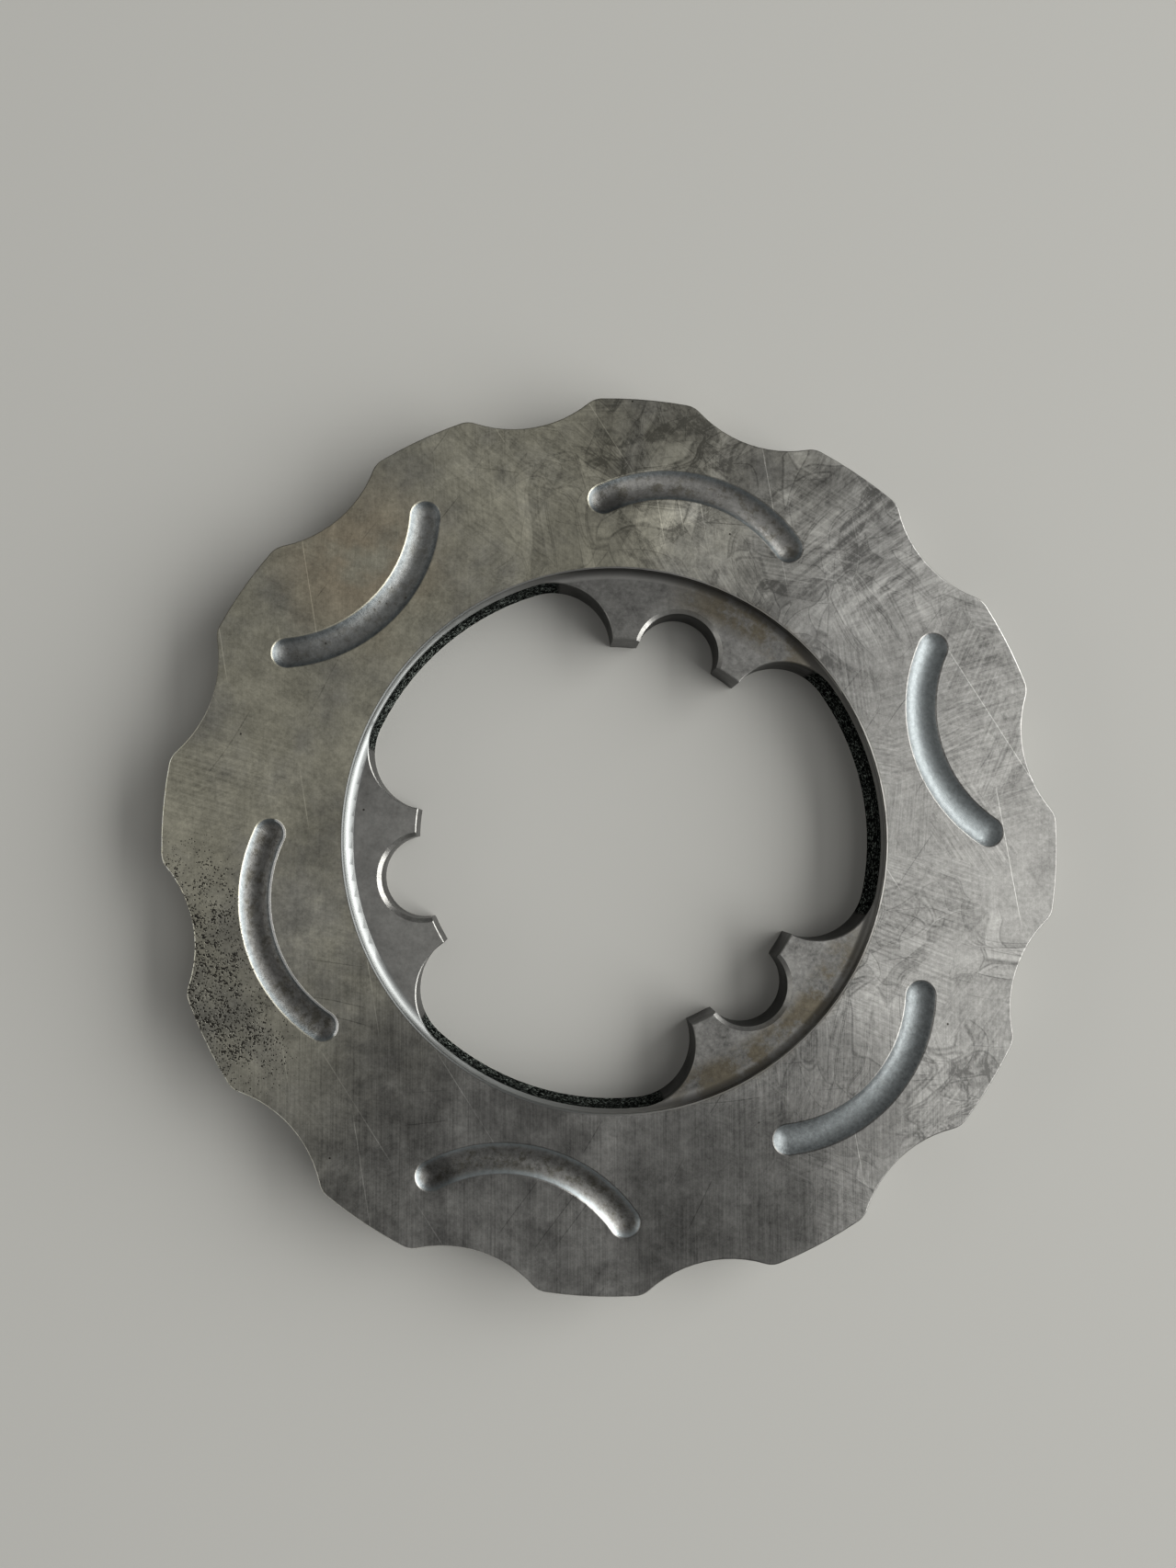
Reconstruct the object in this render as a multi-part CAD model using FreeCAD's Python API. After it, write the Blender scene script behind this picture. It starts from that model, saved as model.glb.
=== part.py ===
import FreeCAD, Part
import math
import os

# Wave-rimmed brake disc rotor for a floating mounting, turned, milled and ground from one
# steel plate. Millimetres and degrees. The disc lies on the plane z = 0 with its recessed
# face up, its axis is the Z axis, and the first drive lug points along +Y.

# Friction ring
outer_radius = 100.0
thickness = 13.0
wave_count = 12
wave_root_radius = 94.8
wave_hollow_radius = 27.5
wave_corner_radius = 5.0
rim_edge_break = 0.4

# Bore and the turned recess that thins the lugs
bore_radius = 60.0
recess_radius = 60.8
recess_depth = 2.4
recess_fillet = 2.0
recess_edge_break = 0.25
opening_edge_break = 0.2

# Drive lugs
lug_count = 3
first_lug_angle = 90.0
lug_tip_radius = 45.0
scallop_radius = 13.4
scallop_angle = 36.4
notch_radius = 9.25
notch_centre_radius = 44.25
notch_chamfer = 0.9

# Ball-nosed grooves in both friction faces
groove_ball_radius = 5.0
groove_depth = 1.43
groove_edge_break = 0.2
groove_arc_radius = 33.4
groove_half_angle = 40.7
groove_turn_from_lug = 4.5
inward_groove_middle_radius = 73.1
outward_groove_middle_radius = 81.5

# Worked out from the above
wave_pitch = 360.0 / wave_count
lug_pitch = 360.0 / lug_count
recess_floor = thickness - recess_depth
lug_root_radius = recess_radius - recess_fillet
scallop_centre_radius = bore_radius - scallop_radius
groove_band = (recess_radius + recess_edge_break, wave_root_radius)
past_face = 1.0
same_place = 0.001


def polar(radius, angle, height=0.0):
    turn = math.radians(angle)
    return FreeCAD.Vector(radius * math.cos(turn), radius * math.sin(turn), height)


def angle_between(side_a, side_b, opposite):
    """Angle, in degrees, between two sides of a triangle."""
    cosine = (side_a ** 2 + side_b ** 2 - opposite ** 2) / (2.0 * side_a * side_b)
    return math.degrees(math.acos(cosine))


def arc_about(centre, start, end, radius):
    """The arc of the shorter way round from start to end about a centre."""
    middle = (start + end) * 0.5 - centre
    middle.normalize()
    return Part.Arc(start, centre + middle * radius, end).toShape()


def middle_of(edge):
    """Distance from the axis and height of an edge's middle point."""
    point = edge.valueAt((edge.FirstParameter + edge.LastParameter) / 2.0)
    return math.hypot(point.x, point.y), point.z


def wave_edges(middle_angle):
    """One hollow of the wavy rim, its two rounded corners and the lobe that follows it."""
    hollow_distance = wave_root_radius + wave_hollow_radius
    hollow_centre = polar(hollow_distance, middle_angle)
    corner_distance = outer_radius - wave_corner_radius
    corner_offset = angle_between(
        corner_distance, hollow_distance, wave_hollow_radius + wave_corner_radius)
    before = polar(corner_distance, middle_angle - corner_offset)
    after = polar(corner_distance, middle_angle + corner_offset)
    lobe_end_before = polar(outer_radius, middle_angle - corner_offset)
    lobe_start = polar(outer_radius, middle_angle + corner_offset)
    lobe_end = polar(outer_radius, middle_angle + wave_pitch - corner_offset)
    share = wave_hollow_radius / (wave_hollow_radius + wave_corner_radius)
    hollow_start = hollow_centre + (before - hollow_centre) * share
    hollow_end = hollow_centre + (after - hollow_centre) * share
    hollow_bottom = polar(wave_root_radius, middle_angle)
    return [
        arc_about(before, lobe_end_before, hollow_start, wave_corner_radius),
        Part.Arc(hollow_start, hollow_bottom, hollow_end).toShape(),
        arc_about(after, hollow_end, lobe_start, wave_corner_radius),
        arc_about(polar(0, 0), lobe_start, lobe_end, outer_radius),
    ]


def rim_wire():
    edges = []
    for index in range(wave_count):
        edges += wave_edges(first_lug_angle + index * wave_pitch)
    return Part.Wire(edges)


def lug_edges(lug_angle):
    """The inner outline along one lug, from the bore before it to the bore after it."""
    tip_offset = angle_between(lug_tip_radius, scallop_centre_radius, scallop_radius)
    notch_offset = angle_between(lug_tip_radius, notch_centre_radius, notch_radius)
    edges = []
    scallop_centre = polar(scallop_centre_radius, lug_angle - scallop_angle)
    bore_end = polar(bore_radius, lug_angle - scallop_angle)
    tooth_start = polar(lug_tip_radius, lug_angle - scallop_angle + tip_offset)
    edges.append(arc_about(scallop_centre, bore_end, tooth_start, scallop_radius))
    notch_start = polar(lug_tip_radius, lug_angle - notch_offset)
    edges.append(arc_about(polar(0, 0), tooth_start, notch_start, lug_tip_radius))
    notch_end = polar(lug_tip_radius, lug_angle + notch_offset)
    notch_bottom = polar(notch_centre_radius + notch_radius, lug_angle)
    edges.append(Part.Arc(notch_start, notch_bottom, notch_end).toShape())
    tooth_end = polar(lug_tip_radius, lug_angle + scallop_angle - tip_offset)
    edges.append(arc_about(polar(0, 0), notch_end, tooth_end, lug_tip_radius))
    scallop_centre = polar(scallop_centre_radius, lug_angle + scallop_angle)
    bore_start = polar(bore_radius, lug_angle + scallop_angle)
    edges.append(arc_about(scallop_centre, tooth_end, bore_start, scallop_radius))
    next_bore_end = polar(bore_radius, lug_angle + lug_pitch - scallop_angle)
    edges.append(arc_about(polar(0, 0), bore_start, next_bore_end, bore_radius))
    return edges


def bore_wire():
    edges = []
    for index in range(lug_count):
        edges += lug_edges(first_lug_angle + index * lug_pitch)
    return Part.Wire(edges)


def rim_blank():
    """The solid wavy plate with both rim edges broken."""
    plate = Part.Face(rim_wire()).extrude(FreeCAD.Vector(0, 0, thickness))
    rim = [edge for edge in plate.Edges if edge.BoundBox.ZLength < same_place]
    return plate.makeFillet(rim_edge_break, rim)


def recess_cutter():
    """The turned recess, with a fillet at its foot and a broken upper edge."""
    wall_top = thickness - recess_edge_break
    fillet_centre_height = recess_floor + recess_fillet
    half_way = recess_fillet * math.sqrt(0.5)
    fillet_middle = FreeCAD.Vector(
        lug_root_radius + half_way, 0, fillet_centre_height - half_way)
    floor_middle = FreeCAD.Vector(0, 0, recess_floor)
    fillet_start = FreeCAD.Vector(lug_root_radius, 0, recess_floor)
    fillet_end = FreeCAD.Vector(recess_radius, 0, fillet_centre_height)
    break_start = FreeCAD.Vector(recess_radius, 0, wall_top)
    reach = recess_radius + recess_edge_break + past_face
    break_end = FreeCAD.Vector(reach, 0, thickness + past_face)
    top_middle = FreeCAD.Vector(0, 0, thickness + past_face)
    outline = Part.Wire([
        Part.LineSegment(floor_middle, fillet_start).toShape(),
        Part.Arc(fillet_start, fillet_middle, fillet_end).toShape(),
        Part.LineSegment(fillet_end, break_start).toShape(),
        Part.LineSegment(break_start, break_end).toShape(),
        Part.LineSegment(break_end, top_middle).toShape(),
        Part.LineSegment(top_middle, floor_middle).toShape(),
    ])
    return Part.Face(outline).revolve(FreeCAD.Vector(0, 0, 0), FreeCAD.Vector(0, 0, 1), 360)


def notch_chamfer_cutters(lug_angle):
    """Cones that chamfer a drive notch at the recess floor and at the underside."""
    centre = polar(notch_centre_radius, lug_angle)
    wide_radius = notch_radius + notch_chamfer + past_face
    height = notch_chamfer + past_face
    upper_foot = centre + FreeCAD.Vector(0, 0, recess_floor - notch_chamfer)
    lower_foot = centre + FreeCAD.Vector(0, 0, notch_chamfer)
    upper = Part.makeCone(notch_radius, wide_radius, height, upper_foot, FreeCAD.Vector(0, 0, 1))
    lower = Part.makeCone(notch_radius, wide_radius, height, lower_foot, FreeCAD.Vector(0, 0, -1))
    return [upper, lower]


def groove_cutter(middle_radius, middle_angle, bulges_outward, centre_height):
    """The path of a ball-nosed cutter along one arc, as a torus span with two ball ends."""
    side = 1.0 if bulges_outward else -1.0
    arc_centre = polar(middle_radius - side * groove_arc_radius, middle_angle, centre_height)
    facing = middle_angle if bulges_outward else middle_angle + 180.0
    groove_span = 2.0 * groove_half_angle
    path = Part.makeTorus(
        groove_arc_radius, groove_ball_radius, FreeCAD.Vector(0, 0, 0), FreeCAD.Vector(0, 0, 1),
        0, 360, groove_span)
    path.rotate(FreeCAD.Vector(0, 0, 0), FreeCAD.Vector(0, 0, 1), facing - groove_half_angle)
    path.translate(arc_centre)
    tools = [path]
    for end in (-groove_half_angle, groove_half_angle):
        ball_centre = arc_centre + polar(groove_arc_radius, facing + end)
        tools.append(Part.makeSphere(groove_ball_radius, ball_centre))
    return tools


def groove_cutters():
    """Six grooves in each face, bulging outward and inward by turns."""
    ball_lift = groove_ball_radius - groove_depth
    tools = []
    for index in range(lug_count):
        outward_angle = first_lug_angle + groove_turn_from_lug + index * lug_pitch
        inward_angle = outward_angle + lug_pitch / 2.0
        for centre_height in (thickness + ball_lift, -ball_lift):
            tools += groove_cutter(
                outward_groove_middle_radius, outward_angle, True, centre_height)
            tools += groove_cutter(
                inward_groove_middle_radius, inward_angle, False, centre_height)
    return tools


def bore_cutter():
    """The shaped hole through the middle, round the tips of the lugs."""
    hole = Part.Face(bore_wire()).extrude(FreeCAD.Vector(0, 0, thickness + 2 * past_face))
    hole.translate(FreeCAD.Vector(0, 0, -past_face))
    return hole


def with_opening_edges_broken(rotor):
    """Both edges of the shaped hole; the smooth line at the recess fillet's foot stays."""
    edges = []
    for edge in rotor.Edges:
        radius = middle_of(edge)[0]
        inside = radius < bore_radius + same_place
        nearly_level = edge.BoundBox.ZLength < recess_depth
        fillet_foot = abs(radius - lug_root_radius) < same_place
        if inside and nearly_level and not fillet_foot:
            edges.append(edge)
    return rotor.makeChamfer(opening_edge_break, edges)


def with_groove_edges_broken(rotor):
    edges = []
    for edge in rotor.Edges:
        radius, height = middle_of(edge)
        in_band = groove_band[0] < radius < groove_band[1]
        on_face = min(abs(height), abs(height - thickness)) < same_place
        if in_band and on_face and edge.BoundBox.ZLength < same_place:
            edges.append(edge)
    return rotor.makeFillet(groove_edge_break, edges)


def whole_rotor():
    rotor = rim_blank().cut(recess_cutter())
    rotor = with_opening_edges_broken(rotor.cut(bore_cutter()))
    cones = []
    for index in range(lug_count):
        cones += notch_chamfer_cutters(first_lug_angle + index * lug_pitch)
    rotor = rotor.cut(cones)
    return with_groove_edges_broken(rotor.cut(groove_cutters()))


def lug_core():
    """The round plug inside which the rotor counts as lug and outside as ring."""
    return Part.makeCylinder(
        lug_root_radius, thickness + 2 * past_face, FreeCAD.Vector(0, 0, -past_face))


def export(shape, name):
    solids = shape.Solids
    shape = solids[0] if len(solids) == 1 else Part.makeCompound(solids)
    shape.exportStep("parts/" + name + ".step")
    print(name, "solids", len(solids), "valid", shape.isValid(), "volume", round(shape.Volume, 1))


def main():
    os.makedirs("parts", exist_ok=True)
    rotor = whole_rotor()
    export(rotor.cut(lug_core()), "friction_ring")
    lugs = rotor.common(lug_core()).Solids
    for index in range(lug_count):
        direction = polar(1.0, first_lug_angle + index * lug_pitch)
        lug = max(lugs, key=lambda solid: solid.CenterOfMass.dot(direction))
        export(lug, "drive_lug_" + str(index + 1))


main()
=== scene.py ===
import math

import bpy
from mathutils import Matrix, Vector

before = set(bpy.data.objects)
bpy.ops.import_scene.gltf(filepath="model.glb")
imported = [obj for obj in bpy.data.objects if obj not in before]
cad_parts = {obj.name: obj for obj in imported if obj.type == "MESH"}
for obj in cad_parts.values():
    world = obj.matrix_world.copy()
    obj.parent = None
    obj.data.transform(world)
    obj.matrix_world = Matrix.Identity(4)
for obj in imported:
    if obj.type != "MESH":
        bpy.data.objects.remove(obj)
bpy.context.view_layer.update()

# Camera, nearly straight above the disc
CAMERA_PLACE = Vector((-0.01766, -0.00861, 0.26437))
CAMERA_AIM = Vector((-0.01016, 0.00914, 0.0130))
CAMERA_UP_ANGLE = 108.56
CAMERA_LENS = 25.96
CAMERA_SENSOR = 36.0

# Light: name, azimuth, elevation, distance, width, height, power, colour
LIGHTS = (
    ("window", 20.0, 25.0, 3.6, 5.2, 2.8, 248.0, (1.0, 1.0, 0.98)),
    ("ceiling_by_the_window", 10.0, 62.0, 1.3, 0.8, 0.6, 2.2, (1.0, 1.0, 0.98)),
    ("far_window", 200.0, 24.0, 1.6, 1.4, 0.4, 2.2, (1.0, 0.98, 0.94)),
)
WORLD_COLOUR = (1.0, 1.0, 0.98)
WORLD_STRENGTH = 0.19
FLOOR_COLOUR = (0.505, 0.50, 0.476)
FLOOR_HALF_SIZE = 3.0
FLOOR_DROP = 0.00005
FLOOR_ROUGHNESS = 0.9
FLOOR_SPECULAR = 0.1

# Rotor, in millimetres
HALF_THICKNESS = 6.5
RECESS_FLOOR = 10.6
GROOVE_INNER_LIMIT = 62.0
GROOVE_OUTER_LIMIT = 94.0


def direction(azimuth, elevation=0.0):
    turn = math.radians(azimuth)
    lift = math.radians(elevation)
    return Vector((math.cos(turn) * math.cos(lift), math.sin(turn) * math.cos(lift), math.sin(lift)))


class Shader:
    """Adds nodes to one material; each method gives back the socket that holds its result."""

    def __init__(self, name):
        self.material = bpy.data.materials.new(name)
        self.material.use_nodes = True
        self.tree = self.material.node_tree
        self.surface = self.tree.nodes["Principled BSDF"]

    def feed(self, socket, value):
        if isinstance(value, bpy.types.NodeSocket):
            self.tree.links.new(value, socket)
        else:
            socket.default_value = value

    def add(self, kind, inputs, output, **settings):
        node = self.tree.nodes.new(kind)
        for name, value in settings.items():
            setattr(node, name, value)
        for key, value in inputs.items():
            self.feed(node.inputs[key], value)
        return node.outputs[output]

    def maths(self, operation, a, b=0.0):
        return self.add("ShaderNodeMath", {0: a, 1: b}, 0, operation=operation)

    def times(self, a, b):
        return self.maths("MULTIPLY", a, b)

    def plus(self, a, b):
        return self.maths("ADD", a, b)

    def about(self, value, amount):
        """A 0-to-1 pattern turned into a swing either side of nothing."""
        inputs = {0: value, 1: amount, 2: -0.5 * amount}
        return self.add("ShaderNodeMath", inputs, 0, operation="MULTIPLY_ADD")

    def total(self, *parts):
        result = parts[0]
        for part in parts[1:]:
            result = self.plus(result, part)
        return result

    def ramp(self, value, low, high, start=0.0, end=1.0):
        """start where value is under low, end where it is over high, and smooth between."""
        inputs = {"Value": value, "From Min": low, "From Max": high, "To Min": start, "To Max": end}
        return self.add("ShaderNodeMapRange", inputs, 0, interpolation_type="SMOOTHSTEP")

    def within(self, value, low, high, soft):
        """1 between low and high, 0 outside."""
        rise = self.ramp(value, low - soft, low + soft)
        fall = self.ramp(value, high - soft, high + soft, 1.0, 0.0)
        return self.times(rise, fall)

    def without(self, value, mask, share=1.0):
        """The value, less a share of it where the mask is 1."""
        return self.times(value, self.ramp(mask, 0.0, 1.0, 1.0, 1.0 - share))

    def mix(self, amount, a, b):
        return self.add("ShaderNodeMix", {0: amount, 2: a, 3: b}, 0, data_type="FLOAT")

    def tint(self, amount, a, b):
        inputs = {0: amount, 6: a, 7: b}
        return self.add("ShaderNodeMix", inputs, 2, data_type="RGBA")

    def vector(self, operation, a, b=(0.0, 0.0, 0.0)):
        return self.add("ShaderNodeVectorMath", {0: a, 1: b}, 0, operation=operation)

    def stretched(self, place, angle, along, across):
        """Coordinates for a texture drawn out along one direction of the XY plane."""
        turned = self.add(
            "ShaderNodeVectorRotate", {"Vector": place, "Angle": angle}, 0, rotation_type="Z_AXIS")
        return self.vector("MULTIPLY", turned, (1.0 / along, 1.0 / across, 1.0))

    def noise(self, place, size, detail=2.0, rough=0.5, bend=0.0, output="Fac"):
        inputs = {
            "Vector": place, "Scale": 1.0 / size, "Detail": detail, "Roughness": rough,
            "Distortion": bend}
        return self.add("ShaderNodeTexNoise", inputs, output)

    def cells(self, place, size, output="Distance", feature="F1"):
        inputs = {"Vector": place, "Scale": 1.0 / size}
        return self.add("ShaderNodeTexVoronoi", inputs, output, feature=feature)

    def warped(self, place, size, reach):
        """The place shifted by a slow noise, so that straight patterns bend."""
        drift = self.vector(
            "SUBTRACT", self.noise(place, size, 0.0, output="Color"), (0.5, 0.5, 0.5))
        return self.vector("ADD", place, self.vector("MULTIPLY", drift, (reach, reach, 0.0)))


class RotorShader(Shader):
    """A shader that knows where on the rotor it is, and carries the layers of its steel."""

    def __init__(self, name):
        super().__init__(name)
        coordinates = self.tree.nodes.new("ShaderNodeTexCoord")
        self.place = self.vector("MULTIPLY", coordinates.outputs["Object"], (1000.0, 1000.0, 1000.0))
        self.height = self.add("ShaderNodeSeparateXYZ", {0: self.place}, "Z")
        self.flat = self.vector("MULTIPLY", self.place, (1.0, 1.0, 0.0))
        self.radius = self.add(
            "ShaderNodeVectorMath", {0: self.flat}, "Value", operation="LENGTH")
        self.outward = self.vector("NORMALIZE", self.flat)
        facing = self.add("ShaderNodeSeparateXYZ", {0: coordinates.outputs["Normal"]}, "Z")
        self.lean = self.add(
            "ShaderNodeVectorMath", {0: coordinates.outputs["Normal"], 1: self.outward}, "Value",
            operation="DOT_PRODUCT")
        self.steep = self.maths("ABSOLUTE", facing)
        from_middle = self.maths("ABSOLUTE", self.maths("SUBTRACT", self.height, HALF_THICKNESS))
        self.wall = self.ramp(self.steep, 0.1, 0.4, 1.0, 0.0)
        self.depth = self.maths("SUBTRACT", HALF_THICKNESS, from_middle)
        self.mottle = self.noise(self.place, 1.0, 6.0, 0.75)
        self.worn = self.noise(self.place, 6.0, 7.0, 0.7)
        self.find_regions()

    def find_regions(self):
        """Masks of the rotor's regions, 1 inside each."""
        self.in_band = self.within(self.radius, GROOVE_INNER_LIMIT, GROOVE_OUTER_LIMIT, 0.1)
        self.groove = self.times(self.in_band, self.ramp(self.depth, 0.05, 0.3))
        self.tilted = self.within(self.steep, 0.25, 0.94, 0.04)
        self.edge = self.times(self.tilted, self.ramp(self.depth, 0.40, 0.50, 1.0, 0.0))
        self.upper = self.ramp(self.height, 8.0, 9.0)
        self.inner = self.ramp(self.radius, 60.5, 60.7, 1.0, 0.0)
        self.fillet = self.ramp(self.radius, 58.0, 59.4)
        self.sunny = self.sector(*SUNNY_SIDE)

    def sector(self, middle, half_width, soft=12.0):
        """1 within a sector of the disc, 0 outside, in degrees either side of its middle."""
        cosine = self.add(
            "ShaderNodeVectorMath", {0: self.outward, 1: direction(middle)}, "Value",
            operation="DOT_PRODUCT")
        outside = math.cos(math.radians(min(180.0, half_width + soft)))
        inside = math.cos(math.radians(max(0.0, half_width - soft)))
        return self.ramp(cosine, outside, inside)

    def spot(self, angle, radius, size, soft):
        """1 near a point of the disc, 0 further off than size."""
        offset = self.vector("SUBTRACT", self.flat, direction(angle) * radius)
        distance = self.add("ShaderNodeVectorMath", {0: offset}, "Value", operation="LENGTH")
        return self.ramp(distance, size - soft, size + soft, 1.0, 0.0)


# Colours of the steel, linear
CLEAN_STEEL = (0.36, 0.355, 0.34, 1.0)
# Cool daylight tint of reflections, painted into the colour of the clean grooves and of the recess
# fillet's side facing the window
COOL_REFLECTION_TINT = (0.325, 0.355, 0.365, 1.0)
OLIVE_FILM = (0.47, 0.45, 0.36, 1.0)
RUST_FILM = (0.42, 0.32, 0.21, 1.0)
GREASE = (0.15, 0.137, 0.10, 1.0)
BROWN_GREASE = (0.155, 0.130, 0.085, 1.0)
BURNT_EDGE = (0.006, 0.007, 0.0065, 1.0)
BURNT_GRAIN = (0.36, 0.40, 0.37, 1.0)
PIT_BLACK = (0.06, 0.056, 0.048, 1.0)

# Tones of the steel, as factors on its colour
GROUND_TONE = 0.76
RECESS_TONE = 0.67
# Painted highlight on the side of the recess fillet that faces the window
SUNNY_FILLET_TONE = 0.9
# Painted shade on the recess edge's side facing the window, over the highlight it would catch
SUNNY_EDGE_TONE = 0.38
OXIDE_TONE = 0.13
RIM_WALL_TONE = 0.66
DARKEST_TONE = 0.34

# Roughness of the steel
GROUND_ROUGHNESS = 0.36
GROOVE_ROUGHNESS = 0.42
FLAT_RECESS_ROUGHNESS = 0.36
FILLET_ROUGHNESS = 0.46
RIM_WALL_ROUGHNESS = 0.42
CHAMFER_ROUGHNESS = 0.3
EDGE_ROUGHNESS = 0.28
BURNT_ROUGHNESS = 0.75

# Direction of the grinding lines, in degrees
GRINDING_TURN = -108.6

# Sectors of the disc: middle angle, half width and softness of the ends, in degrees
FILMED = (165.0, 72.0, 28.0)
BRUSHED = (288.0, 58.0, 22.0)
WORKED = (42.0, 84.0, 22.0)
FEWER_MARKS = (32.0, 20.0, 12.0)
PITTED = (217.0, 15.0, 9.0)
BRIGHT_LUG = (212.0, 28.0, 10.0)
DARK_LUG = (330.0, 28.0, 10.0)
# Where the recess fillet's painted shade is lighter
LIT_FILLET = (325.0, 34.0, 12.0)
# Where a highlight is painted along the rim's edge
BRIGHT_RIM = (196.0, 55.0, 15.0)

# Rust: where it is thickest (angle, radius, size, softness)
RUSTY = (152.0, 84.0, 15.0, 13.0)

# Dried-fluid marks: size and lean of a layer of leaves, how long they are, and the share that shows
LEAF_LAYERS = ((6.5, 10.0, 2.4, 0.50), (5.5, 75.0, 2.8, 0.45), (9.0, -50.0, 1.8, 0.5))

# Sharp-edged splashes: their layers, as for the leaves, and where they lie
SHARD_LAYERS = ((2.6, 90.0, 4.5, 0.55), (3.2, 26.0, 4.0, 0.45), (2.2, 140.0, 5.0, 0.35))
SPLASHED = (101.0, 83.0, 18.0)

# Strokes of a hand stone: where they are (angle, radius, size), then their direction, length,
# width and strength
HAND_STROKES = (
    ((70.0, 88.0, 18.0), 57.0, 90.0, 2.4, 2.3),
    ((36.0, 88.0, 24.0), 35.0, 20.0, 0.8, 1.0),
    ((104.0, 92.0, 14.0), 150.0, 26.0, 1.6, 0.9),
    ((124.0, 82.0, 18.0), 161.0, 26.0, 0.8, 0.8),
    ((189.0, 87.0, 15.0), 2.0, 16.0, 0.7, 0.8),
)

# Hair scratches: angle, pitch, share of the strips that hold one, length. The dark ones also
# bend, and for these the size and the reach of the bend come first
BRIGHT_SCRATCHES = ((118.0, 0.24, 0.014, 45.0), (141.0, 0.24, 0.010, 60.0))
DARK_SCRATCHES = (((50.0, 12.0), 75.0, 0.30, 0.016, 22.0), ((40.0, 14.0), 20.0, 0.30, 0.016, 18.0))

# Patches of the ground face that are lighter or darker: where (angle, radius, size), by what factor
UNEVEN_PATCHES = (
    ((-56.0, 83.0, 24.0), 0.54), ((-31.0, 74.0, 16.0), 0.70), ((-86.0, 68.0, 13.0), 0.66),
    ((-113.0, 70.0, 14.0), 0.79), ((64.0, 86.0, 18.0), 1.15), ((106.0, 90.0, 16.0), 0.75),
    ((114.0, 67.0, 12.0), 0.70), ((-163.0, 85.0, 17.0), 1.18), ((94.0, 72.0, 11.0), 1.55),
    ((214.0, 73.0, 9.0), 1.45), ((197.0, 65.5, 8.0), 0.78))

# Grooves: middle angle, tone of the flanks, tone of the floor, share of dirt on the floor. The flank
# tones are painted highlight and shade, set groove by groove for how brightly each flank catches the
# light
GROOVES = (
    (34.5, 0.61, 0.80, 0.0), (94.5, 0.62, 0.72, 1.0), (154.5, 0.45, 0.74, 0.6),
    (214.5, 0.56, 0.52, 1.0), (274.5, 1.15, 0.50, 1.0), (334.5, 0.42, 0.60, 0.1))
GROOVE_REACH = 24.0
GROOVE_SOFTNESS = 6.0
SPECKLED_GROOVE = 154.5
# Groove whose inner edge gets a painted highlight
HIGHLIT_EDGE_GROOVE = 214.5

# Groove ends whose highlights are painted darker: where (angle, radius, size), by what factor
DIMMED_END_HIGHLIGHTS = (((259.5, 84.0, 5.0), 0.5), ((111.0, 76.6, 5.0), 0.5), ((169.5, 84.0, 5.0), 0.78))

# Grease on the lug faces: middle angle, half width
GREASY_LUGS = ((328.0, 26.0), (76.0, 14.0))

# The half of the recess that faces the window, where the fillet gets a painted highlight and its edge
# painted shade, and the half that faces away, where the edge gets a painted highlight, as for the
# sectors
SUNNY_SIDE = (208.0, 75.0, 20.0)
SHADY_SIDE = (20.0, 80.0, 20.0)

# Parts of the rim's edge drawn dark instead of bright: middle angle, half width, how dark
DARK_RIM_EDGE = ((132.0, 50.0, 1.0), (66.0, 13.0, 0.6), (345.0, 52.0, 0.75))

# Pits: their spacing in millimetres, and the share of places that hold one where they are thickest
PIT_PITCH = 0.4
PIT_SHARE = 0.98


def lines(shader, place, angle, length, width, detail=4.0):
    """Grinding lines along one direction, from 0 to 1 about 0.5."""
    return shader.noise(shader.stretched(place, angle, length, width), 1.0, detail, 0.7)


def scratches(shader, place, angle, pitch, share, length):
    """Straight hair scratches: a random few of many narrow strips, broken into lengths."""
    turned = shader.stretched(place, math.radians(-angle), length, pitch)
    split = shader.tree.nodes.new("ShaderNodeSeparateXYZ")
    shader.feed(split.inputs[0], turned)
    strip = shader.maths("FLOOR", split.outputs["Y"])
    chance = shader.add("ShaderNodeTexWhiteNoise", {"W": strip}, "Value", noise_dimensions="1D")
    chosen = shader.maths("GREATER_THAN", chance, 1.0 - share)
    across = shader.maths("PINGPONG", split.outputs["Y"], 0.5)
    profile = shader.ramp(across, 0.0, 0.3)
    segment = shader.add("ShaderNodeCombineXYZ", {"X": split.outputs["X"], "Y": strip}, 0)
    broken = shader.ramp(shader.noise(segment, 1.0, 2.0), 0.52, 0.60)
    return shader.times(shader.times(chosen, profile), broken)


def leaves(shader, place, size, lean, long, share):
    """Long leaf-shaped marks with their own brightness and line direction, and dark outlines."""
    drawn = shader.stretched(place, math.radians(lean), long, 1.0)
    identity = shader.tree.nodes.new("ShaderNodeSeparateColor")
    shader.feed(identity.inputs[0], shader.cells(drawn, size, "Color"))
    edge = shader.cells(drawn, size, feature="DISTANCE_TO_EDGE")
    chosen = shader.maths("GREATER_THAN", identity.outputs["Red"], 1.0 - share)
    turn = shader.times(identity.outputs["Green"], math.pi)
    hatch = shader.about(lines(shader, shader.place, turn, 14.0, 0.8), 0.55)
    field = shader.about(identity.outputs["Blue"], 0.42)
    veins = shader.times(shader.maths("SINE", shader.times(edge, 46.0)), 0.05)
    inside = shader.times(shader.ramp(edge, 0.03, 0.05), shader.total(hatch, field, veins))
    outline = shader.within(edge, 0.015, 0.05, 0.012)
    return shader.times(chosen, inside), shader.times(chosen, outline)


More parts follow.
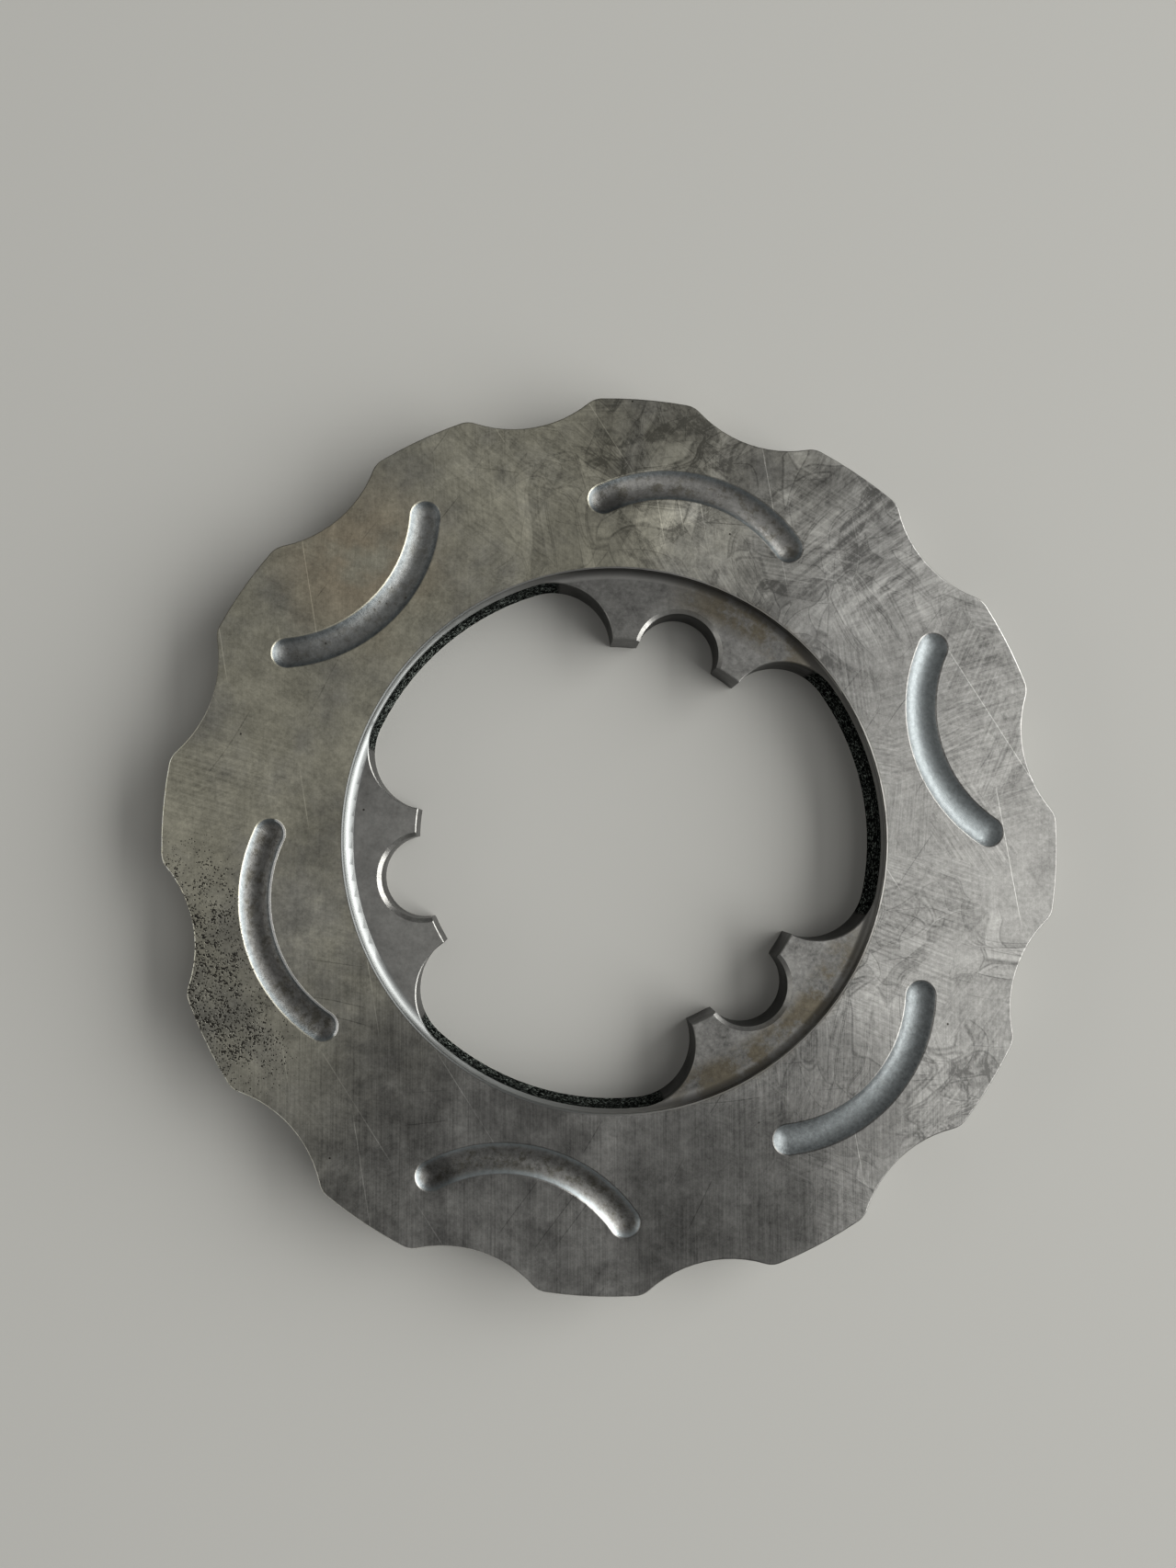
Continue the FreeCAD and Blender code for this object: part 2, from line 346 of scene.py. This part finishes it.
def with_fluid_marks(shader, tone, worked):
    """The tone with the marks and the sharp-edged splashes left by dried fluid."""
    place = shader.place
    bent = shader.warped(shader.warped(place, 26.0, 24.0), 8.0, 5.0)
    marks = 0.0
    outlines = 0.0
    for size, lean, long, share in LEAF_LAYERS:
        inside, outline = leaves(shader, bent, size, lean, long, share)
        marks = shader.plus(marks, inside)
        outlines = shader.maths("MAXIMUM", outlines, outline)
    spread = shader.ramp(shader.noise(place, 20.0, 2.0), 0.36, 0.50)
    marked = shader.without(shader.times(spread, worked), shader.sector(*FEWER_MARKS), 0.65)
    marks = shader.plus(marks, shader.times(outlines, -0.24))
    tone = shader.plus(tone, shader.times(marks, marked))
    shards = 0.0
    for size, lean, long, share in SHARD_LAYERS:
        inside, outline = leaves(shader, shader.warped(place, 9.0, 2.0), size, lean, long, share)
        shards = shader.total(shards, inside, shader.times(outline, -0.16))
    shards = shader.times(shards, shader.spot(*SPLASHED, 6.0))
    return shader.plus(tone, shader.times(shards, 1.2))


def pitting(shader):
    """Pits along the rim, thinning out inward, and a few specks everywhere."""
    place = shader.place
    towards_rim = shader.ramp(shader.radius, 74.0, 92.0)
    zone = shader.times(towards_rim, shader.sector(*PITTED))
    patchy = shader.ramp(shader.noise(place, 4.0, 2.0), 0.30, 0.60, 0.62, 1.0)
    share = shader.times(shader.times(zone, patchy), PIT_SHARE)
    chance = shader.tree.nodes.new("ShaderNodeSeparateColor")
    shader.feed(chance.inputs[0], shader.cells(place, PIT_PITCH, "Color"))
    reach = shader.maths("SUBTRACT", shader.plus(chance.outputs["Red"], share), 1.0)
    pits = shader.ramp(shader.maths("SUBTRACT", reach, shader.cells(place, PIT_PITCH)), -0.06, 0.10)
    specks = shader.ramp(shader.cells(place, 9.0), 0.012, 0.04, 1.0, 0.0)
    return shader.maths("MAXIMUM", pits, specks)


def ground_finish(shader):
    """Brightness, film, pits and height of the ground friction faces."""
    place = shader.place
    fine = lines(shader, place, math.radians(GRINDING_TURN), 24.0, 0.42)
    coarse = lines(shader, place, math.radians(GRINDING_TURN), 60.0, 2.2)
    cloud = shader.noise(place, 24.0, 3.0)
    blotch = shader.noise(place, 5.0, 7.0, 0.7)
    grain = shader.noise(place, 0.9, 4.0, 0.75)
    filmed = shader.sector(*FILMED)
    brushed = shader.ramp(shader.sector(*BRUSHED), 0.0, 1.0, 0.25, 1.0)
    streaks = shader.times(shader.plus(shader.about(fine, 0.95), shader.about(coarse, 0.3)), brushed)
    blots = shader.without(shader.about(blotch, 0.75), filmed, 0.35)
    tone = shader.total(
        GROUND_TONE, streaks, shader.about(cloud, 0.35), blots, shader.about(grain, 0.9))

    # Strokes in other directions, field by field
    fields = shader.tree.nodes.new("ShaderNodeSeparateColor")
    shader.feed(fields.inputs[0], shader.cells(shader.warped(place, 12.0, 8.0), 17.0, "Color"))
    stroke_turn = shader.times(fields.outputs["Red"], math.pi)
    strokes = lines(shader, place, stroke_turn, 20.0, 0.6, 5.0)
    stroked = shader.ramp(fields.outputs["Green"], 0.4, 0.6, 0.2, 1.3)
    worked = shader.sector(*WORKED)
    stroked = shader.times(stroked, shader.ramp(worked, 0.0, 1.0, 0.3, 1.0))
    tone = shader.plus(tone, shader.times(shader.about(strokes, 0.9), stroked))
    tone = shader.plus(tone, shader.about(fields.outputs["Blue"], 0.06))

    tone = with_fluid_marks(shader, tone, worked)

    # Straight strokes from a hand stone
    for where, along, length, width, strength in HAND_STROKES:
        stroke = lines(shader, place, math.radians(-along), length, width)
        tone = shader.plus(tone, shader.times(shader.spot(*where, 9.0), shader.about(stroke, strength)))

    # Hair scratches in a few directions
    bright = 0.0
    for scratch in BRIGHT_SCRATCHES:
        bright = shader.maths("MAXIMUM", bright, scratches(shader, place, *scratch))
    dark = 0.0
    for bend, *scratch in DARK_SCRATCHES:
        bent = shader.warped(place, *bend)
        dark = shader.maths("MAXIMUM", dark, scratches(shader, bent, *scratch))
    tone = shader.plus(tone, shader.times(bright, 0.50))
    tone = shader.plus(tone, shader.times(dark, -0.26))

    pits = pitting(shader)
    tone = shader.maths("MAXIMUM", tone, DARKEST_TONE)
    for where, factor in UNEVEN_PATCHES:
        tone = shader.times(tone, shader.ramp(shader.spot(*where, 9.0), 0.0, 1.0, 1.0, factor))

    height = shader.total(
        shader.times(fine, 0.012), shader.times(strokes, 0.010), shader.times(grain, 0.012),
        shader.times(cloud, 0.03), shader.times(bright, -0.01), shader.times(pits, -0.015))
    film = shader.times(shader.ramp(shader.noise(place, 22.0, 5.0, 0.6), 0.25, 0.60, 0.35), filmed)
    return tone, film, pits, height


def rust_mask(shader):
    rusty = shader.ramp(shader.noise(shader.place, 12.0, 4.0), 0.32, 0.58)
    rust = shader.times(shader.spot(*RUSTY), rusty)
    return shader.without(rust, shader.tilted)


def groove_tones(shader):
    """Tone of the flanks as painted highlight and shade, tone of the floor and share of dirt, groove by
    groove.
    """
    flank_tone = 0.0
    floor_tone = 0.0
    dirty = 0.0
    for middle, on_flank, on_floor, dirt_share in GROOVES:
        here = shader.sector(middle, GROOVE_REACH, GROOVE_SOFTNESS)
        flank_tone = shader.plus(flank_tone, shader.times(here, on_flank))
        floor_tone = shader.plus(floor_tone, shader.times(here, on_floor))
        dirty = shader.plus(dirty, shader.times(here, dirt_share))
    return flank_tone, floor_tone, dirty


def add_grooves(shader):
    """Ball-nosed grooves: matt, with olive dirt and specks along the floor, painted highlight and shade
    on the flanks, and a painted cool reflection tint where they are clean.
    """
    groove = shader.groove
    low = shader.ramp(shader.depth, 0.3, 1.25)
    on_floor = shader.times(groove, low)
    flank_tone, floor_tone, dirty = groove_tones(shader)
    # The flank tones paint each groove's highlight and shade
    tone = shader.plus(shader.mix(low, flank_tone, floor_tone), shader.about(shader.mottle, 1.0))
    # Painted shade that dims the highlights at some groove ends
    for where, factor in DIMMED_END_HIGHLIGHTS:
        dimmed_highlight = shader.ramp(shader.spot(*where, 2.0), 0.0, 1.0, 1.0, factor)
        tone = shader.times(tone, dimmed_highlight)
    shader.tone = shader.mix(groove, shader.tone, tone)

    away = shader.maths("SUBTRACT", 1.0, groove)
    shader.film = shader.times(shader.film, away)
    shader.film = shader.without(shader.film, shader.ramp(shader.radius, 60.9, 61.3, 1.0, 0.0))
    shader.pits = shader.times(shader.pits, away)
    # Painted cool reflection tint over the clean grooves
    cool_reflection = shader.without(groove, shader.times(low, dirty))
    colour = shader.tint(cool_reflection, CLEAN_STEEL, COOL_REFLECTION_TINT)
    colour = shader.tint(shader.film, colour, OLIVE_FILM)
    rust = shader.times(rust_mask(shader), away)
    colour = shader.tint(shader.times(rust, 0.55), colour, RUST_FILM)

    spill = shader.ramp(shader.noise(shader.place, 2.2, 6.0, 0.7), 0.47, 0.62)
    dirt = shader.times(shader.times(on_floor, spill), dirty)
    colour = shader.tint(shader.times(dirt, 0.6), colour, GREASE)
    crumbs = shader.ramp(shader.cells(shader.place, 1.5), 0.14, 0.24, 1.0, 0.0)
    crumbs = shader.times(shader.times(crumbs, spill), on_floor)
    speckled = shader.sector(SPECKLED_GROOVE, GROOVE_REACH, GROOVE_SOFTNESS)
    crumbs = shader.times(crumbs, speckled)
    shader.colour = shader.tint(shader.times(crumbs, 0.8), colour, PIT_BLACK)
    shader.matt = shader.without(groove, dirty)
    shader.rough = shader.mix(groove, shader.rough, GROOVE_ROUGHNESS)
    shader.relief = shader.mix(groove, shader.relief, shader.times(shader.mottle, 0.06))


def add_recess(shader):
    """Turned recess: darker, with fine rings; its fillet has a painted highlight and a cool reflection
    tint on the side facing the window, and painted shade on the side facing away.
    """
    worn = shader.worn
    recess = shader.times(shader.ramp(shader.radius, 61.0, 61.1, 1.0, 0.0), shader.upper)
    rings = shader.noise(shader.add("ShaderNodeCombineXYZ", {"X": shader.radius}, 0), 0.7, 3.0, 0.6)
    flat_tone = shader.total(
        RECESS_TONE, shader.about(rings, 0.25), shader.about(worn, 1.4),
        shader.about(shader.mottle, 0.9), shader.times(shader.sector(*BRIGHT_LUG), 0.52),
        shader.times(shader.sector(*DARK_LUG), -0.10))
    # Painted shade on the fillet away from the window, lighter in LIT_FILLET, and a painted highlight
    # on the side facing it
    shaded_tone = shader.ramp(shader.radius, 58.6, 60.6, 0.60, 0.36)
    fillet_tone = shader.total(
        shader.mix(shader.sunny, shaded_tone, SUNNY_FILLET_TONE), shader.about(worn, 0.2),
        shader.times(shader.sector(*LIT_FILLET), 0.22))
    recess_tone = shader.mix(shader.fillet, flat_tone, fillet_tone)
    shader.tone = shader.mix(recess, shader.tone, recess_tone)
    # Painted cool reflection tint on the fillet's lit side
    fillet_cool_reflection = shader.times(shader.times(shader.fillet, recess), shader.sunny)
    shader.colour = shader.tint(shader.times(fillet_cool_reflection, 0.5), shader.colour, COOL_REFLECTION_TINT)
    recess_rough = shader.ramp(shader.fillet, 0.0, 1.0, FLAT_RECESS_ROUGHNESS, FILLET_ROUGHNESS)
    shader.rough = shader.mix(recess, shader.rough, recess_rough)
    shader.relief = shader.mix(recess, shader.relief, shader.times(shader.mottle, 0.012))


def add_grease(shader):
    """Brown grease in worn patches of two lug faces."""
    greasy = 0.0
    for middle, half_width in GREASY_LUGS:
        greasy = shader.maths("MAXIMUM", greasy, shader.sector(middle, half_width, 10.0))
    lug_band = shader.within(shader.radius, 54.0, 60.5, 2.0)
    greasy = shader.times(shader.times(greasy, shader.upper), lug_band)
    greasy = shader.times(greasy, shader.ramp(shader.worn, 0.38, 0.56))
    shader.colour = shader.tint(shader.times(greasy, 0.85), shader.colour, BROWN_GREASE)


def add_walls(shader):
    """Milled walls of the lugs, with dark oxide, and the rim's cut wall, finely striated."""
    below_floor = shader.ramp(shader.height, RECESS_FLOOR - 0.3, RECESS_FLOOR, 1.0, 0.0)
    lug_wall = shader.times(shader.times(shader.inner, shader.wall), below_floor)
    oxide_tone = shader.plus(OXIDE_TONE, shader.about(shader.worn, 0.14))
    shader.tone = shader.mix(lug_wall, shader.tone, oxide_tone)

    rim_wall = shader.times(shader.ramp(shader.radius, 93.5, 94.0), shader.wall)
    upright = shader.vector("MULTIPLY", shader.place, (1.6, 1.6, 0.06))
    striation = shader.noise(upright, 1.0, 3.0, 0.6)
    rim_tone = shader.total(
        RIM_WALL_TONE, shader.about(striation, 0.55), shader.about(shader.worn, 0.35))
    shader.tone = shader.mix(rim_wall, shader.tone, rim_tone)
    shader.film = shader.without(shader.film, rim_wall, 0.6)
    shader.pits = shader.without(shader.pits, rim_wall)
    shader.rough = shader.mix(rim_wall, shader.rough, RIM_WALL_ROUGHNESS)
    shader.relief = shader.mix(rim_wall, shader.relief, shader.times(striation, 0.03))


def add_chamfers(shader):
    """Chamfers of the lugs' notches and tips: smooth, with a painted highlight, painted darker instead
    on the lug in BRIGHT_LUG.
    """
    below_lug_face = shader.within(shader.height, RECESS_FLOOR - 1.0, RECESS_FLOOR, 0.05)
    chamfer = shader.times(shader.times(shader.tilted, shader.inner), below_lug_face)
    chamfer = shader.without(chamfer, shader.fillet)
    # Painted highlight on the chamfers, turned into painted shade on the lug in BRIGHT_LUG
    chamfer_highlight_tone = shader.ramp(shader.sector(*BRIGHT_LUG), 0.0, 1.0, 0.4, -0.38)
    shader.tone = shader.plus(shader.tone, shader.times(chamfer, chamfer_highlight_tone))
    shader.rough = shader.mix(chamfer, shader.rough, CHAMFER_ROUGHNESS)


def brighten_edges(shader):
    """Edges brightened, partly as wear and partly as painted highlight; parts of the rim's edge are
    drawn dark, and the recess edge gets painted shade on its sunny side and a painted highlight on its
    shady side.
    """
    rubbed_and_highlit = shader.without(shader.edge, shader.in_band, 0.9)
    rubbed_and_highlit = shader.times(rubbed_and_highlit, shader.ramp(shader.worn, 0.35, 0.5, 0.5, 1.0))
    dark_share = 0.0
    for middle, half_width, share in DARK_RIM_EDGE:
        dark_share = shader.plus(dark_share, shader.times(shader.sector(middle, half_width, 10.0), share))
    at_rim = shader.ramp(shader.radius, 93.0, 94.0)
    darkened_rim = shader.times(at_rim, dark_share)
    # Parts of the rim's edge drawn dark instead of bright
    tone = shader.mix(shader.times(rubbed_and_highlit, darkened_rim), shader.tone, DARKEST_TONE)
    rubbed_and_highlit = shader.without(rubbed_and_highlit, darkened_rim)

    recess_edge = shader.times(shader.within(shader.radius, 60.7, 61.2, 0.1), shader.upper)
    sunny_edge = shader.times(recess_edge, shader.sunny)
    # Painted shade on the recess edge's sunny side
    tone = shader.mix(sunny_edge, tone, SUNNY_EDGE_TONE)
    rubbed_and_highlit = shader.without(rubbed_and_highlit, sunny_edge)
    # Painted highlights: a bright line on the recess edge's shady side, and along the rim's edge in
    # BRIGHT_RIM
    shady_edge_highlight = shader.times(shader.times(recess_edge, shader.tilted), shader.sector(*SHADY_SIDE))
    rim_edge_highlight = shader.times(shader.times(rubbed_and_highlit, at_rim), shader.sector(*BRIGHT_RIM))
    shader.tone = shader.total(
        tone, shader.times(shady_edge_highlight, 1.1), rim_edge_highlight, shader.times(rubbed_and_highlit, 0.75))
    shader.film = shader.without(shader.film, rubbed_and_highlit, 0.8)
    shader.rough = shader.mix(rubbed_and_highlit, shader.rough, EDGE_ROUGHNESS)


def paint_burr_highlight(shader):
    """A bright line along the inner edge of one groove, where a burred edge catches the light: a
    painted highlight.
    """
    highlit_groove = shader.sector(HIGHLIT_EDGE_GROOVE, GROOVE_REACH, GROOVE_SOFTNESS)
    edge_highlight = shader.times(shader.times(shader.edge, shader.in_band), highlit_groove)
    edge_highlight = shader.times(edge_highlight, shader.ramp(shader.lean, 0.1, 0.3))
    # Painted highlight along the groove's inner edge
    shader.tone = shader.plus(shader.tone, shader.times(edge_highlight, 5.0))


def burn_bore_wall(shader, shade):
    """Wall of the bore between the lugs, burnt and rough where the cutting flame left it."""
    bore = shader.within(shader.radius, 59.2, 60.3, 0.2)
    burnt = shader.times(bore, shader.wall)
    torn = shader.ramp(shader.height, 6.0, 8.0, 1.0, 0.45)
    cinder = shader.noise(shader.place, 0.65, 4.0, 0.75)
    glint = shader.times(shader.ramp(cinder, 0.55, 0.60), torn)
    burnt_colour = shader.tint(glint, BURNT_EDGE, BURNT_GRAIN)
    shader.rough = shader.mix(burnt, shader.rough, BURNT_ROUGHNESS)
    burnt_relief = shader.times(shader.times(cinder, torn), 0.7)
    shader.relief = shader.mix(burnt, shader.relief, burnt_relief)
    edge_tint = shader.tint(burnt, (1.0, 1.0, 1.0, 1.0), burnt_colour)
    return shader.tint(burnt, shade, burnt_colour), edge_tint


def rotor_steel(name):
    shader = RotorShader(name)
    shader.tone, shader.film, shader.pits, shader.relief = ground_finish(shader)
    uneven = shader.noise(shader.place, 5.0, 5.0)
    shader.rough = shader.plus(GROUND_ROUGHNESS, shader.about(uneven, 0.3))
    add_grooves(shader)
    add_recess(shader)
    add_grease(shader)
    add_walls(shader)
    add_chamfers(shader)
    brighten_edges(shader)
    paint_burr_highlight(shader)

    colour = shader.tint(shader.pits, shader.colour, PIT_BLACK)
    tone = shader.tone
    grey = shader.add("ShaderNodeCombineXYZ", {0: tone, 1: tone, 2: tone}, 0)
    shade, edge_tint = burn_bore_wall(shader, shader.vector("MULTIPLY", colour, grey))
    surface = shader.surface
    metallic = shader.without(shader.ramp(shader.film, 0.0, 1.0, 1.0, 0.75), shader.matt, 0.3)
    shader.feed(surface.inputs["Metallic"], metallic)
    shader.feed(surface.inputs["Base Color"], shade)
    shader.feed(surface.inputs["Specular Tint"], edge_tint)
    shader.feed(surface.inputs["Roughness"], shader.rough)
    bump_inputs = {"Strength": 1.0, "Distance": 0.001, "Height": shader.relief}
    shader.feed(surface.inputs["Normal"], shader.add("ShaderNodeBump", bump_inputs, 0))
    return shader.material


def dress(node, material):
    node.data.materials.clear()
    node.data.materials.append(material)


def make_floor():
    mesh = bpy.data.meshes.new("floor")
    half = FLOOR_HALF_SIZE
    corners = [(-half, -half, -FLOOR_DROP), (half, -half, -FLOOR_DROP),
               (half, half, -FLOOR_DROP), (-half, half, -FLOOR_DROP)]
    mesh.from_pydata(corners, [], [(0, 1, 2, 3)])
    floor = bpy.data.objects.new("floor", mesh)
    bpy.context.scene.collection.objects.link(floor)
    shader = Shader("pale_floor")
    shader.surface.inputs["Base Color"].default_value = (*FLOOR_COLOUR, 1.0)
    shader.surface.inputs["Roughness"].default_value = FLOOR_ROUGHNESS
    shader.surface.inputs["Specular IOR Level"].default_value = FLOOR_SPECULAR
    dress(floor, shader.material)


def area_light(name, azimuth, elevation, distance, width, height, power, colour):
    light = bpy.data.lights.new(name, "AREA")
    light.shape = "RECTANGLE"
    light.size = width
    light.size_y = height
    light.energy = power
    light.color = colour
    lamp = bpy.data.objects.new(name, light)
    towards = direction(azimuth, elevation)
    lamp.location = towards * distance
    lamp.rotation_euler = towards.to_track_quat("Z", "Y").to_euler()
    bpy.context.scene.collection.objects.link(lamp)


def light_scene():
    world = bpy.data.worlds.new("studio")
    world.use_nodes = True
    background = world.node_tree.nodes["Background"]
    background.inputs["Color"].default_value = (*WORLD_COLOUR, 1.0)
    background.inputs["Strength"].default_value = WORLD_STRENGTH
    bpy.context.scene.world = world
    for light in LIGHTS:
        area_light(*light)


def make_camera():
    back = (CAMERA_PLACE - CAMERA_AIM).normalized()
    right = direction(CAMERA_UP_ANGLE).cross(back).normalized()
    up = back.cross(right)
    lens = bpy.data.cameras.new("camera")
    lens.lens = CAMERA_LENS
    lens.sensor_width = CAMERA_SENSOR
    camera = bpy.data.objects.new("camera", lens)
    camera.location = CAMERA_PLACE
    camera.rotation_euler = Matrix((right, up, back)).transposed().to_euler()
    bpy.context.scene.collection.objects.link(camera)
    bpy.context.scene.camera = camera


make_camera()
make_floor()
light_scene()
steel = rotor_steel("ground_steel_finish")
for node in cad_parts.values():
    dress(node, steel)
bpy.context.scene.view_settings.view_transform = "Standard"
